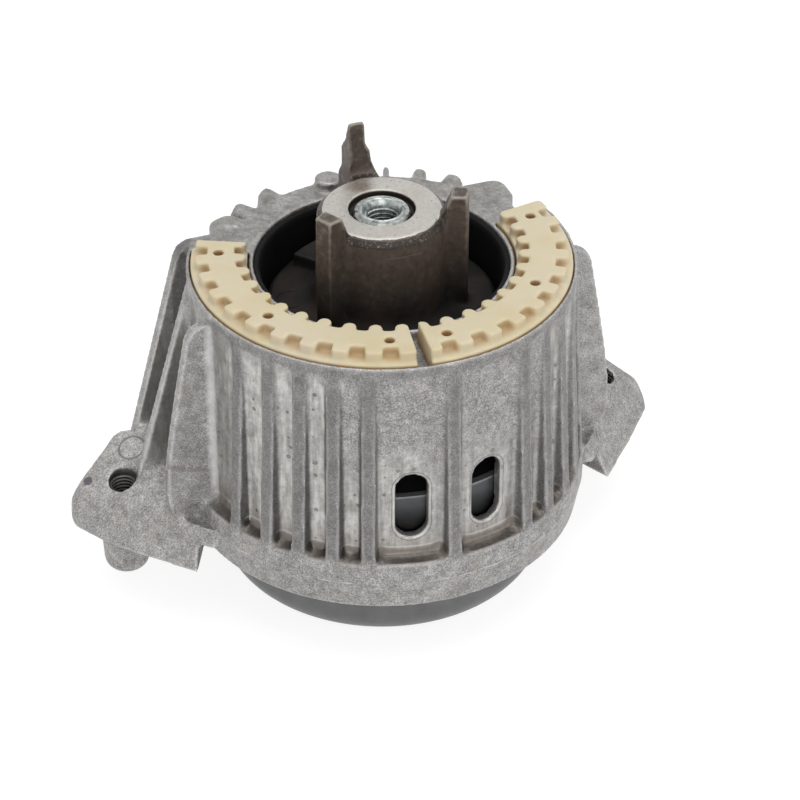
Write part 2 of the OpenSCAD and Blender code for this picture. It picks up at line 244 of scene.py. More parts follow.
def cast_masks(tree, place):
    """Where the shot, the die and the shape make the housing's skin differ."""
    faces = add(tree, "ShaderNodeNewGeometry").outputs
    normal = add(tree, SPLIT, {0: faces["Normal"]}).outputs
    x, y, height = add(tree, SPLIT, {0: place}).outputs
    radius = from_axis(tree, place)
    sideways = add(tree, MATH, {0: x}, operation="ABSOLUTE")
    # Seen from above, with the left half folded onto the right
    on_plan = add(tree, "ShaderNodeCombineXYZ", {0: sideways, 1: y})
    # The skin of the wall lies within 70.6 mm of the axis, ribs and flanges outside
    outside = zone(tree, (radius, 70.3, 71.3))
    collar = zone(tree, (height, 0.1180, 0.1235))
    # The middle panels are speckled above the windows and smooth round them
    patch = add(tree, NOISE, {"Vector": place, "Scale": lumps(6.0), "Detail": 3.0, "Roughness": 0.6})
    ragged = add(tree, MATH, {0: patch, 1: 0.060, 2: height}, operation="MULTIPLY_ADD")
    front = add(tree, MATH, {0: y, 1: -0.060}, operation="LESS_THAN")
    panel = zone(tree, front, (ragged, 0.098, 0.128))
    # The back of the rim and the scoops at the feet of the flutes are smoother, and both are painted darker
    # as shade; a painted highlight runs along the top of each scoop
    back = zone(tree, collar, (y, 0.0, 0.015, 0.0, 0.6))
    low_down = zone(tree, (height, 0.0508, 0.0498), (height, 0.0442, 0.0450), (radius, 75.4, 74.6),
                    (y, -0.010, -0.020))
    scoop_smooth_and_shaded = zone(tree, low_down, (normal["Z"], 0.12, 0.28))
    painted_crest_highlight = zone(tree, low_down, (normal["Z"], 0.06, 0.10), (normal["Z"], 0.18, 0.14),
                 (radius, 73.0, 72.0))
    # So are the sides of the two rear gussets, and the fillet where the front one meets the wall, which also
    # carries a painted highlight
    looks_along_y = add(tree, MATH, {0: normal["Y"]}, operation="ABSOLUTE")
    gusset = zone(tree, (sideways, 0.0705, 0.0720), (height, 0.0490, 0.0530), (y, -0.0115, -0.0100),
                  (looks_along_y, 0.6, 0.8))
    from_fillet = add(tree, VECTOR, {0: on_plan, 1: (0.0707, -0.0136, 0.0)}, operation="DISTANCE")
    strip = zone(tree, (from_fillet.outputs["Value"], 0.0022, 0.0006), (height, 0.0490, 0.0540))
    beside = add(tree, MATH, {0: gusset, 1: strip}, operation="MAXIMUM")
    shot, smoother = panel, zone(tree, beside, 0.8)
    for mask in (outside, collar):
        shot = add(tree, MATH, {0: shot, 1: mask}, operation="MAXIMUM")
    for mask in (back, scoop_smooth_and_shaded):
        smoother = add(tree, MATH, {0: smoother, 1: mask}, operation="MAXIMUM")
    blasted = zone(tree, shot, (smoother, 0.0, 1.0, 1.0, 0.0))
    # Rib faces took most of the shot and are the darkest
    rib = zone(tree, outside, (radius, 78.2, 77.2), (height, 0.0440, 0.0485), (sideways, 0.0702, 0.0694))
    # Brown bloom lies on the feet of the flutes and of the panels
    foot = zone(tree, (height, 0.0600, 0.0470), (outside, 0.0, 1.0, 1.0, 0.0))
    # How far a face looks away from the axis, from -1 to 1
    flat = add(tree, VECTOR, {0: place, 1: (1.0, 1.0, 0.0)}, operation="MULTIPLY")
    straight_out = add(tree, VECTOR, {0: flat}, operation="NORMALIZE")
    away = add(tree, VECTOR, {0: straight_out, 1: faces["Normal"]}, operation="DOT_PRODUCT")
    # The round wall, unrolled into a flat strip
    angle = add(tree, MATH, {0: y, 1: x}, operation="ARCTAN2")
    along = add(tree, MATH, {0: angle, 1: WALL_R * MM}, operation="MULTIPLY")
    unrolled = add(tree, "ShaderNodeCombineXYZ", {0: along, 1: height})
    return SimpleNamespace(
        x=x, y=y, sideways=sideways, height=height, on_plan=on_plan, collar=collar, front=front,
        back=back, scoop_smooth_and_shaded=scoop_smooth_and_shaded, painted_crest_highlight=painted_crest_highlight, gusset=gusset, strip=strip, blasted=blasted, rib=rib,
        foot=foot, away=away.outputs["Value"], unrolled=unrolled, points=faces["Pointiness"])


# %% [markdown]
# The colours are then laid over each other through those masks: first the
# grain, then the specks, wear, dirt, painted highlights and painted shade, and at last the single marks.

# %% Cast housing material


def cast_skin(tree, place, where):
    """The bare metal's colour, and the noises that later marks use."""
    finest = add(tree, NOISE, {"Vector": place, "Scale": lumps(0.30), "Detail": 2.0, "Roughness": 0.90})
    fine = add(tree, NOISE, {"Vector": place, "Scale": lumps(0.80), "Detail": 4.0, "Roughness": 0.85})
    grain = layered(tree, finest, (0.25, fine))
    coarse = add(tree, NOISE, {"Vector": place, "Scale": lumps(1.1), "Detail": 3.0, "Roughness": 0.70})
    blotch = add(tree, NOISE, {"Vector": place, "Scale": lumps(2.6), "Detail": 5.0, "Roughness": 0.72})
    cloud = add(tree, NOISE, {"Vector": place, "Scale": lumps(13.0), "Detail": 3.0, "Roughness": 0.55})
    tint = add(tree, NOISE, {"Vector": place, "Scale": lumps(5.0), "Detail": 4.0, "Roughness": 0.6})
    # The die's skin is streaked upwards, because its pattern is drawn out along Z
    drawn_out = add(tree, "ShaderNodeMapping", {"Vector": place, "Scale": (1.0, 1.0, 0.14)})
    streak = add(tree, NOISE, {"Vector": drawn_out, "Scale": lumps(1.2), "Detail": 3.0, "Roughness": 0.65})
    strong = add(tree, RAMP, {0: grain}, [
        (0.37, "#6b6a69"), (0.46, "#959493"), (0.54, "#afaead"), (0.65, "#d6d5d4")])
    faint = add(tree, RAMP, {0: grain}, [(0.38, "#82817f"), (0.49, "#a09f9d"), (0.62, "#c0bfbd")])
    speckled = layered(tree, faint, (zone(tree, (cloud, 0.42, 0.60, 0.25, 0.95)), strong))
    smooth = add(tree, RAMP, {0: streak}, [(0.34, "#9b9a98"), (0.50, "#bab9b6"), (0.66, "#d2d1cf")])
    broad = add(tree, RAMP, {0: blotch}, [(0.34, "#858483"), (0.50, "#bcbbba"), (0.66, "#e0dfde")])
    lumpy = add(tree, RAMP, {0: coarse}, [(0.30, "#6c6b6a"), (0.50, "#b4b3b2"), (0.70, "#e6e5e4")])
    base = layered(
        tree, smooth,
        (zone(tree, (where.blasted, 0.0, 1.0, 0.10, 1.0)), speckled),
        (0.50, broad, "OVERLAY"),
        (0.22, lumpy, "OVERLAY"),
        # Faint brown and violet clouds of burnt release agent
        (zone(tree, (tint, 0.54, 0.70, 0.0, 0.34)), "#a0988e"),
        (zone(tree, (tint, 0.46, 0.32, 0.0, 0.16)), "#a2a1a8"),
        (zone(tree, where.rib, 0.55), "#5f5e5d"),
        (zone(tree, (cloud, 0.40, 0.72, 0.0, 0.22)), "#8a8988"))
    return base, grain, coarse, blotch


def die_specks(tree, where):
    """Dark specks in the flutes, where drops of release agent dried on the die."""
    drops = add(tree, "ShaderNodeTexVoronoi",
                {"Vector": where.unrolled, "Scale": cells(5.0), "Randomness": 1.0},
                voronoi_dimensions="2D").outputs
    pick = add(tree, "ShaderNodeSeparateColor", {0: drops["Color"]}).outputs
    # A random number that is squared is mostly small, and so are the specks
    size = add(tree, MATH, {0: pick[1], 1: 2.0}, operation="POWER")
    size = zone(tree, (size, 0.0, 1.0, 0.05, 0.21))
    past_edge = add(tree, MATH, {0: drops["Distance"], 1: size}, operation="SUBTRACT")
    # A third of the cells have a speck, which is paler in its middle
    chosen = add(tree, MATH, {0: pick[0], 1: 0.30}, operation="LESS_THAN")
    # They sit on faces that look away from the axis, where the unrolled pattern isn't stretched
    return zone(tree, chosen, (past_edge, 0.030, -0.015), (past_edge, -0.03, -0.08, 1.0, 0.6),
                (where.blasted, 0.0, 1.0, 0.80, 0.22), (where.away, 0.55, 0.80))


def die_step(tree, where, blotch):
    """A step in the die shows as a brown line across the left front gusset."""
    # It is 61.7 mm high at 78.5 mm out, climbs by 0.3 mm a millimetre, and wanders by 2 mm either way
    middle = 0.0617 - 0.30 * 0.0785 + 0.0020
    level = add(tree, MATH, {0: where.sideways, 1: -0.30, 2: where.height}, operation="MULTIPLY_ADD")
    level = add(tree, MATH, {0: blotch, 1: 0.0040, 2: level}, operation="MULTIPLY_ADD")
    return zone(tree, (level, middle - 0.0016, middle - 0.0005), (level, middle + 0.0016, middle + 0.0005),
                (where.x, -0.0712, -0.0722), (where.y, -0.0100, -0.0110))


def window_step(tree, where, coarse):
    """The shallow step that the die's plugs leave round each window."""
    middle = (-FRONT_ON_WALL * MM, WINDOW_MIDDLE_Z * MM, 0.0)
    corner = add(tree, VECTOR, {0: where.unrolled, 1: middle}, operation="SUBTRACT")
    # Folded over both middle lines, so that one round end of one window stands for all four
    corner = add(tree, VECTOR, {0: corner}, operation="ABSOLUTE")
    end = (WINDOW_HALF_PITCH * MM, WINDOW_HALF_STRAIGHT * MM, 0.0)
    corner = add(tree, VECTOR, {0: corner, 1: end}, operation="SUBTRACT")
    # Beside the straight part only the distance across counts
    corner = add(tree, VECTOR, {0: corner, 1: (-1.0, 0.0, 0.0)}, operation="MAXIMUM")
    reach = add(tree, VECTOR, {0: corner}, operation="LENGTH").outputs["Value"]
    wavy = add(tree, MATH, {0: coarse, 1: 0.0006, 2: reach}, operation="MULTIPLY_ADD")
    edge = WINDOW_STEP_R * MM + 0.0003
    return zone(tree, where.front, (wavy, edge - 0.0003, edge - 0.0001), (wavy, edge + 0.0003, edge + 0.0001))


def thread_root_shade(tree, where):
    """The roots of the ears' threads, painted dark as shade inside the holes."""
    hole = (EAR_X * MM, EAR_Y * MM, 0.0)
    from_hole = add(tree, VECTOR, {0: where.on_plan, 1: hole}, operation="DISTANCE").outputs["Value"]
    return zone(tree, (from_hole, (EAR_MINOR_R + 0.10) * MM, (EAR_MAJOR_R - 0.25) * MM),
                (from_hole, (EAR_MAJOR_R + 0.65) * MM, (EAR_MAJOR_R + 0.25) * MM))


def cast_aluminium():
    material, tree = new_material("cast_aluminium_shot_blasted")
    place = add(tree, "ShaderNodeTexCoord").outputs["Object"]
    where = cast_masks(tree, place)
    base, grain, coarse, blotch = cast_skin(tree, place, where)
    # Outer edges are rubbed bright by wear and carry a painted highlight, and inner corners get painted shade
    worn_and_highlit = add(tree, MATH, {0: grain, 1: 0.02, 2: where.points}, operation="MULTIPLY_ADD")
    # A dab of violet paint on the left ear, from an inspection
    dab = add(tree, VECTOR, {0: place, 1: (-0.1091, 0.0221, 0.0404)}, operation="DISTANCE")
    dab = add(tree, MATH, {0: coarse, 1: 0.0016, 2: dab.outputs["Value"]}, operation="MULTIPLY_ADD")
    dab = zone(tree, (dab, 0.0029, 0.0024))
    # Dirt along the ring that a plug printed on that ear
    plug = add(tree, VECTOR, {0: place, 1: (-0.0906, 0.0259, 0.0485)}, operation="DISTANCE")
    plug = plug.outputs["Value"]
    base = layered(
        tree, base,
        (die_specks(tree, where), "#4d4a48"),
        # Wear and painted highlight along the outer edges
        (zone(tree, (worn_and_highlit, 0.519, 0.565), (where.collar, 0.0, 1.0, 0.50, 0.18)), "#dfdedd"),
        # Painted shade in the inner corners
        (zone(tree, (where.points, 0.495, 0.445), 0.50), "#5a5856"),
        # Painted shade darkens the back of the rim
        (where.back, "#bdbcba", "MULTIPLY"),
        (zone(tree, where.gusset, 0.30), "#a8a6a2"),
        # Painted highlight along the fillet where the front gusset meets the wall
        (zone(tree, where.strip, 0.48), "#dddcdb"),
        (zone(tree, die_step(tree, where, blotch), 0.45), "#7a6a5c"),
        # Painted shade in the scoops, standing in for a concave fillet's dark reflection
        (zone(tree, where.scoop_smooth_and_shaded, 0.78), "#514840"),
        # Painted highlight along the top of each scoop
        (zone(tree, where.painted_crest_highlight, 0.55), "#efedea"),
        (zone(tree, where.foot, 0.50), "#8b8178"),
        (zone(tree, window_step(tree, where, coarse), 0.60), "#5a5856"),
        # Painted shade in the roots of the ears' threads
        (zone(tree, thread_root_shade(tree, where), 0.85), "#2b2927"),
        (zone(tree, (plug, 0.0044, 0.0048), (plug, 0.0056, 0.0052), 0.70), "#55524f"),
        (zone(tree, dab, 0.85), "#4d4452"))
    grit = add(tree, BUMP, {"Height": grain, "Strength": 0.30, "Distance": 0.00012})
    uneven = add(tree, BUMP, {"Height": coarse, "Strength": 0.38, "Distance": 0.0004, "Normal": grit})
    # The paint isn't metal, and blasted skin is rougher than the die's
    shader = add(tree, SHADER, {
        "Base Color": base, "Metallic": zone(tree, (dab, 0.0, 1.0, 0.72, 0.12)),
        "Roughness": zone(tree, (where.blasted, 0.0, 1.0, 0.30, 0.50)), "Normal": uneven})
    add(tree, OUTPUT, {0: shader})
    return material


CAST = cast_aluminium()

# %% [markdown]
# ## Moulded cream plastic
#
# The stop pads are injection moulded in an unfilled, cream-coloured plastic.
# It lets a little light in, and the bottoms of the notches are painted brown as
# shade rather than going grey. It has a satin skin with no grain to speak of.

# %% Cream pad material


def cream_plastic():
    material, tree = new_material("moulded_cream_plastic")
    place = add(tree, "ShaderNodeTexCoord").outputs["Object"]
    cloud = add(tree, NOISE, {"Vector": place, "Scale": lumps(9.0), "Detail": 2.0, "Roughness": 0.5})
    fine = add(tree, NOISE, {"Vector": place, "Scale": lumps(0.6), "Detail": 3.0, "Roughness": 0.6})
    base = add(tree, RAMP, {0: cloud}, [(0.30, "#dccea9"), (0.55, "#e1d5b6"), (0.75, "#dfd3bb")])
    # Painted shade: the hollows that ambient occlusion finds are painted brown
    shade = add(tree, "ShaderNodeAmbientOcclusion", {"Distance": 0.005}, samples=8).outputs["AO"]
    base = layered(tree, base, (zone(tree, (shade, 0.84, 0.42), 0.80), "#b48a52"))
    shader = add(tree, SHADER, {
        "Base Color": base, "Roughness": zone(tree, (fine, 0.3, 0.7, 0.46, 0.56)), "IOR": 1.49,
        "Subsurface Weight": 0.5, "Subsurface Radius": (0.0024, 0.0017, 0.0010), "Subsurface Scale": 1.0,
        "Normal": add(tree, BUMP, {"Height": fine, "Strength": 0.15, "Distance": 0.0001})})
    add(tree, OUTPUT, {0: shader})
    return material


CREAM = cream_plastic()

# %% [markdown]
# ## The primed core and its machined face
#
# The core is an aluminium casting that was dipped in a brown bonding primer,
# so that the rubber grips it. The primer is thin: it is rubbed off along the
# edges, and the core is painted darker towards the rubber as shade. The top was
# then faced on a lathe, which left bare pale metal inside a ragged edge.

# %% Core material


def below_face(depth_mm):
    """A height in metres, from a depth below the machined face."""
    return (CORE_FACE_Z - depth_mm) * MM


def primer(tree, place, radius, height, mottle, cloud, fade):
    """The brown coat, with its bare edges and the chipped rim under the face."""
    # The low colour is painted shade, for the part of the core down in the throat
    low = add(tree, RAMP, {0: mottle}, [(0.3, "#0d0a08"), (0.7, "#15110e")])
    high = add(tree, RAMP, {0: mottle}, [(0.3, "#483e37"), (0.55, "#594f47"), (0.75, "#6a6057")])
    # Edges are rubbed bare, but not the chamfer under the face, which was turned later
    chamfer = add(tree, MATH, {0: radius, 1: 23.0, 2: 1.1}, operation="COMPARE")
    points = add(tree, "ShaderNodeNewGeometry").outputs["Pointiness"]
    points = add(tree, MATH, {0: mottle, 1: 0.06, 2: points}, operation="MULTIPLY_ADD")
    edge = zone(tree, (points, 0.534, 0.566), (chamfer, 0.0, 1.0, 1.0, 0.05),
                (height, 0.140, 0.158, 0.30, 1.0), fade, 0.50)
    high_up = add(tree, MATH, {0: mottle, 1: 0.0020, 2: height}, operation="MULTIPLY_ADD")
    rim = zone(tree, (high_up, below_face(2.9), below_face(1.7)), chamfer)
    # The tool broke small chips out of the primer there, down to bright metal
    chips = add(tree, NOISE, {"Vector": place, "Scale": lumps(0.55), "Detail": 4.0, "Roughness": 0.85})
    return layered(
        tree, low,
        (fade, high),
        # The hollow above the rubber gets the darkest painted shade
        (zone(tree, (radius, 27.0, 34.0), (height, 0.1190, 0.1170), 0.7), "#080706"),
        (zone(tree, (cloud, 0.45, 0.75, 0.0, 0.4)), "#4a3a33"),
        (edge, "#bbb3a8"),
        (zone(tree, rim, 0.85), "#2f2824"),
        (zone(tree, rim, (chips, 0.55, 0.66), 0.65), "#a8a198"))


def machined_metal(tree, place, mottle):
    """The pale face that the lathe left."""
    tone = add(tree, NOISE, {"Vector": place, "Scale": lumps(0.8), "Detail": 4.0, "Roughness": 0.7})
    pale = add(tree, RAMP, {0: tone}, [
        (0.27, "#858079"), (0.36, "#b9b5af"), (0.60, "#c5c1bb"), (0.80, "#d2cfca")])
    stain = add(tree, NOISE, {"Vector": place, "Scale": lumps(7.0), "Detail": 3.0, "Roughness": 0.6})
    # A brown smear of primer ran down from the tall prong
    smear = add(tree, VECTOR, {0: place, 1: (-0.0023, 0.0165, 0.1493)}, operation="DISTANCE")
    smear = add(tree, MATH, {0: mottle, 1: 0.0050, 2: smear.outputs["Value"]}, operation="MULTIPLY_ADD")
    # The casting's pores show as dark pits, and about one cell in four has one
    pores = add(tree, "ShaderNodeTexVoronoi", {"Vector": place, "Scale": cells(3.03), "Randomness": 1.0},
                voronoi_dimensions="2D").outputs
    pick = add(tree, "ShaderNodeSeparateColor", {0: pores["Color"]})
    chosen = add(tree, MATH, {0: pick, 1: 0.28}, operation="LESS_THAN")
    return layered(
        tree, pale,
        (zone(tree, (stain, 0.52, 0.70, 0.0, 0.55)), "#b3a79c"),
        (zone(tree, (smear, 0.0085, 0.0045, 0.0, 0.65)), "#86705f"),
        (zone(tree, (pores["Distance"], 0.11, 0.07), chosen, 0.75), "#4f4842"))


def primed_casting():
    material, tree = new_material("primed_cast_aluminium")
    place = add(tree, "ShaderNodeTexCoord").outputs["Object"]
    radius = from_axis(tree, place)
    height = add(tree, SPLIT, {0: place}).outputs["Z"]
    mottle = add(tree, NOISE, {"Vector": place, "Scale": lumps(1.6), "Detail": 4.0, "Roughness": 0.65})
    cloud = add(tree, NOISE, {"Vector": place, "Scale": lumps(9.0), "Detail": 3.0, "Roughness": 0.55})
    # The core is painted darker downwards, as painted shade where the throat shadows it
    fade = add(tree, MATH, {0: cloud, 1: 0.014, 2: height}, operation="MULTIPLY_ADD")
    fade = zone(tree, (fade, 0.121, 0.146))
    # The machined face: everything within half a millimetre of the top, inside a ragged rim
    at_top = add(tree, MATH, {0: height, 1: below_face(0.025), 2: 0.425 * MM}, operation="COMPARE")
    ragged = add(tree, MATH, {0: mottle, 1: 2.2, 2: radius}, operation="MULTIPLY_ADD")
    face = zone(tree, at_top, add(tree, MATH, {0: ragged, 1: 22.5}, operation="LESS_THAN"))
    # The counterbore round the insert is painted dark as shade
    inner = add(tree, MATH, {0: radius, 1: 12.4}, operation="LESS_THAN")
    counterbore_shade = zone(tree, inner, (height, below_face(0.15), below_face(0.5)), 0.85)
    base = layered(tree, primer(tree, place, radius, height, mottle, cloud, fade),
                   (face, machined_metal(tree, place, mottle)), (counterbore_shade, "#1d1916"))
    rough = layered(tree, zone(tree, (fade, 0.0, 1.0, 0.72, 0.48)), (face, (0.36, 0.36, 0.36, 1.0)))
    grain = add(tree, NOISE, {"Vector": place, "Scale": lumps(0.30), "Detail": 3.0, "Roughness": 0.7})
    # Real tool marks are finer, and are drawn this coarse so that they show
    rings = add(tree, "ShaderNodeTexWave", {"Vector": place, "Scale": tool_marks(0.748), "Distortion": 0.3},
                wave_type="RINGS", rings_direction="Z").outputs["Fac"]
    turned_face = add(tree, BUMP, {"Height": rings, "Strength": zone(tree, face, 0.10), "Distance": 0.00005})
    uneven = add(tree, BUMP, {"Height": mottle, "Strength": 0.35, "Distance": 0.0003, "Normal": turned_face})
    grit = add(tree, BUMP, {"Height": grain, "Strength": 0.25, "Distance": 0.0001, "Normal": uneven})
    shader = add(tree, SHADER, {"Base Color": base, "Metallic": 0.45, "Roughness": rough, "Normal": grit})
    add(tree, OUTPUT, {0: shader})
    return material


PRIMED = primed_casting()

# %% [markdown]
# ## Zinc, rubber, coated sheet and filled plastic
#
# The smaller finishes are plainer. The insert is turned steel with a bright
# zinc plate. The rubber is a black natural rubber from a steel mould. The cap
# and the ring are drawn sheet with a thin dark coat, and the orifice plates
# are a glass-filled plastic.

# %% The other finishes


def zinc_plate():
    material, tree = new_material("turned_zinc_plated_steel")
    place = add(tree, "ShaderNodeTexCoord").outputs["Object"]
    cloud = add(tree, NOISE, {"Vector": place, "Scale": lumps(1.4), "Detail": 4.0, "Roughness": 0.65})
    base = add(tree, RAMP, {0: cloud}, [(0.32, "#6f7574"), (0.48, "#a3a8a6"), (0.70, "#d2d6d4")])
    # These tool marks are drawn coarser than real ones too
    rings = add(tree, "ShaderNodeTexWave", {"Vector": place, "Scale": tool_marks(0.628), "Distortion": 0.4},
                wave_type="RINGS", rings_direction="Z").outputs["Fac"]
    shader = add(tree, SHADER, {
        "Base Color": base, "Metallic": 0.95, "Roughness": zone(tree, (cloud, 0.3, 0.7, 0.24, 0.38)),
        "Normal": add(tree, BUMP, {"Height": rings, "Strength": 0.12, "Distance": 0.00004})})
    add(tree, OUTPUT, {0: shader})
    return material


def black_rubber():
    material, tree = new_material("moulded_black_rubber")
    place = add(tree, "ShaderNodeTexCoord").outputs["Object"]
    cloud = add(tree, NOISE, {"Vector": place, "Scale": lumps(6.0), "Detail": 3.0, "Roughness": 0.6})
    fine = add(tree, NOISE, {"Vector": place, "Scale": lumps(0.5), "Detail": 3.0, "Roughness": 0.6})
    base = add(tree, RAMP, {0: cloud}, [(0.30, "#0b0a0a"), (0.60, "#100f0f"), (0.80, "#171514")])
    shader = add(tree, SHADER, {
        "Base Color": base, "Roughness": zone(tree, (cloud, 0.3, 0.7, 0.62, 0.78)), "IOR": 1.52,
        "Specular IOR Level": 0.15,
        "Normal": add(tree, BUMP, {"Height": fine, "Strength": 0.25, "Distance": 0.0001})})
    add(tree, OUTPUT, {0: shader})
    return material


def coated_sheet(name, dark, light, metallic, low, high):
    """Drawn sheet metal with a thin coat, faintly clouded."""
    material, tree = new_material(name)
    place = add(tree, "ShaderNodeTexCoord").outputs["Object"]
    cloud = add(tree, NOISE, {"Vector": place, "Scale": lumps(5.0), "Detail": 4.0, "Roughness": 0.6})
    fine = add(tree, NOISE, {"Vector": place, "Scale": lumps(0.4), "Detail": 2.0, "Roughness": 0.6})
    base = add(tree, RAMP, {0: cloud}, [(0.30, dark), (0.72, light)])
    shader = add(tree, SHADER, {
        "Base Color": base, "Metallic": metallic, "Roughness": zone(tree, (fine, 0.3, 0.7, low, high)),
        "Normal": add(tree, BUMP, {"Height": fine, "Strength": 0.12, "Distance": 0.00008})})
    add(tree, OUTPUT, {0: shader})
    return material


def drawn_ring():
    """Black primer, with a painted sheen on its upper band, painted shade lower down and a painted highlight
    along its top edge.
    """
    material, tree = new_material("drawn_steel_black_primer")
    place = add(tree, "ShaderNodeTexCoord").outputs["Object"]
    height = add(tree, SPLIT, {0: place}).outputs["Z"]
    cloud = add(tree, NOISE, {"Vector": place, "Scale": lumps(4.0), "Detail": 4.0, "Roughness": 0.6})
    base = add(tree, RAMP, {0: cloud}, [(0.30, "#1a1c1e"), (0.72, "#2b2e30")])
    shine = add(tree, MATH, {0: cloud, 1: 0.004, 2: height}, operation="MULTIPLY_ADD")
    edge = add(tree, MATH, {0: cloud, 1: 0.0010, 2: height}, operation="MULTIPLY_ADD")
    base = layered(
        tree, base,
        # Painted sheen on the upper band
        (zone(tree, (shine, 0.060, 0.070), 0.5), "#6b6e70"),
        # Painted shade towards the bottom
        (zone(tree, (height, 0.0645, 0.0580, 0.0, 0.94)), "#050506"),
        # Painted highlight along the top edge
        (zone(tree, (edge, 0.0682, 0.0687)), "#8d8f90"))
    shader = add(tree, SHADER, {
        "Base Color": base, "Metallic": 0.5, "Roughness": zone(tree, (cloud, 0.3, 0.7, 0.28, 0.40))})
    add(tree, OUTPUT, {0: shader})
    return material


ZINC = zinc_plate()
RING = drawn_ring()
RUBBER = black_rubber()
CAP = coated_sheet("drawn_sheet_dark_coat", "#666667", "#767677", 0.35, 0.34, 0.46)
POLYMER = coated_sheet("glass_filled_black_plastic", "#26282a", "#35383b", 0.0, 0.45, 0.6)

# %% [markdown]
# ## Softening a casting
#
# No edge of a casting or a moulding is sharp: the die has a radius in every
# corner, and tumbling rounds the rest. The CAD solid has flat faces and hard
# edges, so the shown housing is made from it. A voxel remesh turns it into an
# even skin, smoothing rounds every edge by about half a millimetre and fills
# every inner corner as a fillet does, and a decimate takes away the triangles
# that flat places don't need.

# %% Soft copies of the solids


def finished(object_, material, slot, *replaced):
    """Gives a piece its material, hangs it under the root and hides the nodes that it replaces."""
    object_.data.materials.clear()
    object_.data.materials.append(material)
    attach(object_, "root")
    if replaced:
        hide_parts(*replaced)
    return object_


def plain_mesh(object_):
    """The object's modifiers applied into a new mesh."""
    graph = bpy.context.evaluated_depsgraph_get()
    mesh = bpy.data.meshes.new_from_object(object_.evaluated_get(graph))
    object_.modifiers.clear()
    old = object_.data
    object_.data = mesh
    if old.users == 0 and isinstance(old, bpy.types.Mesh):
        bpy.data.meshes.remove(old)
    return object_


def read_mesh(mesh):
    """Places, edge neighbours and four-cornered faces of a mesh as arrays."""
    places = np.empty(len(mesh.vertices) * 3)
    mesh.vertices.foreach_get("co", places)
    ends = np.empty(len(mesh.edges) * 2, dtype=np.int64)
    mesh.edges.foreach_get("vertices", ends)
    start = np.concatenate((ends[0::2], ends[1::2]))
    other = np.concatenate((ends[1::2], ends[0::2]))
    order = np.argsort(start, kind="stable")
    corners = np.empty(len(mesh.loops), dtype=np.int64)
    mesh.loops.foreach_get("vertex_index", corners)
    return places.reshape(-1, 3), start[order], other[order], corners.reshape(-1, 4)


def outward(places, faces):
    """The normal at each point, from the faces round it."""
    across = np.cross(places[faces[:, 2]] - places[faces[:, 0]], places[faces[:, 3]] - places[faces[:, 1]])
    total = np.zeros_like(places)
    for axis in range(3):
        for corner in range(4):
            total[:, axis] += np.bincount(faces[:, corner], across[:, axis], len(places))
    return total / np.maximum(np.linalg.norm(total, axis=1), 1e-20)[:, None]


def shape_skin(object_, hollow_weight, hollow_passes, all_weight=None, all_passes=0):
    """Fills hollows as a fillet does, then rounds everything where all_weight says."""
    mesh = object_.data
    places, start, other, faces = read_mesh(mesh)
    first = np.searchsorted(start, np.arange(len(places)))
    count = np.diff(np.append(first, len(start)))[:, None]
    before = places.copy()
    weight = hollow_weight(places / MM)
    for step in range(hollow_passes):
        # Normals change little from pass to pass, so every sixth pass works them out again
        if step % 6 == 0:
            normals = outward(places, faces)
        pull = np.add.reduceat(places[other], first, axis=0) / count - places
        rise = np.maximum((pull * normals).sum(axis=1), 0.0) * weight
        places += 0.5 * rise[:, None] * normals
    if all_weight:
        weight = all_weight(places / MM)[:, None]
        for step in range(all_passes):
            pull = np.add.reduceat(places[other], first, axis=0) / count - places
            places += 0.5 * weight * pull
    moved = np.linalg.norm(places - before, axis=1).max() / MM
    mesh.vertices.foreach_set("co", places.ravel())
    mesh.update()
    print(object_.name, "fillets moved the skin by up to", round(moved, 2), "mm")


def soft_copy(node, name, voxel_mm, passes, most_triangles, edit=None, shape=None):
    """A rounded copy of a CAD node, made by voxels and smoothing."""
    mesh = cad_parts[node].data.copy()
    work = bmesh.new()
    work.from_mesh(mesh)
    bmesh.ops.remove_doubles(work, verts=work.verts, dist=1e-6)
    if edit:
        edit(work)
    work.to_mesh(mesh)
    work.free()
    mesh.name = name
    mesh.materials.clear()
    object_ = new_object(name, mesh)
    remesh = object_.modifiers.new("skin", "REMESH")
    remesh.mode = "VOXEL"
    remesh.voxel_size = voxel_mm * MM
    remesh.use_smooth_shade = True
    soft = object_.modifiers.new("soft", "SMOOTH")
    soft.factor = 0.5
    soft.iterations = passes
    plain_mesh(object_)
    if shape:
        shape(object_)
    triangles = sum(len(p.vertices) - 2 for p in object_.data.polygons)
    if triangles > most_triangles:
        thin = object_.modifiers.new("thin", "DECIMATE")
        thin.ratio = most_triangles / triangles
        plain_mesh(object_)
    for polygon in object_.data.polygons:
        polygon.use_smooth = True
    print(name, "had", triangles, "triangles and keeps", len(object_.data.polygons))
    return object_


def open_to_major(work):
    """Widens the ear holes to the thread's major diameter, so that the thread stands in them."""
    moved = 0
    for vertex in work.verts:
        for x in (-EAR_X, EAR_X):
            dx, dy = vertex.co.x - x * MM, vertex.co.y - EAR_Y * MM
            reach = math.hypot(dx, dy)
            if 0.5 * MM < reach < (EAR_MINOR_R + 0.05) * MM:
                vertex.co.x = x * MM + dx / reach * EAR_MAJOR_R * MM
                vertex.co.y = EAR_Y * MM + dy / reach * EAR_MAJOR_R * MM
                moved += 1
    print("ear hole points moved to the major diameter:", moved)


# %% [markdown]
# ## Fillets where the metal flowed
#
# Smoothing alone rounds an outer edge as much as an inner corner, but a die
# casting has small outer radii and large inner ones, because the melt has to
# flow through the corner. So a second pass moves only the points that lie in
# a hollow, and only outwards. Its strength depends on the place: full at the
# feet of the gussets and at the core's lugs, a quarter in the flutes, and
# none at holes and windows, which keep their size. The ears' rounded front
# is then smoothed as a whole.

# %% Housing, pads and core


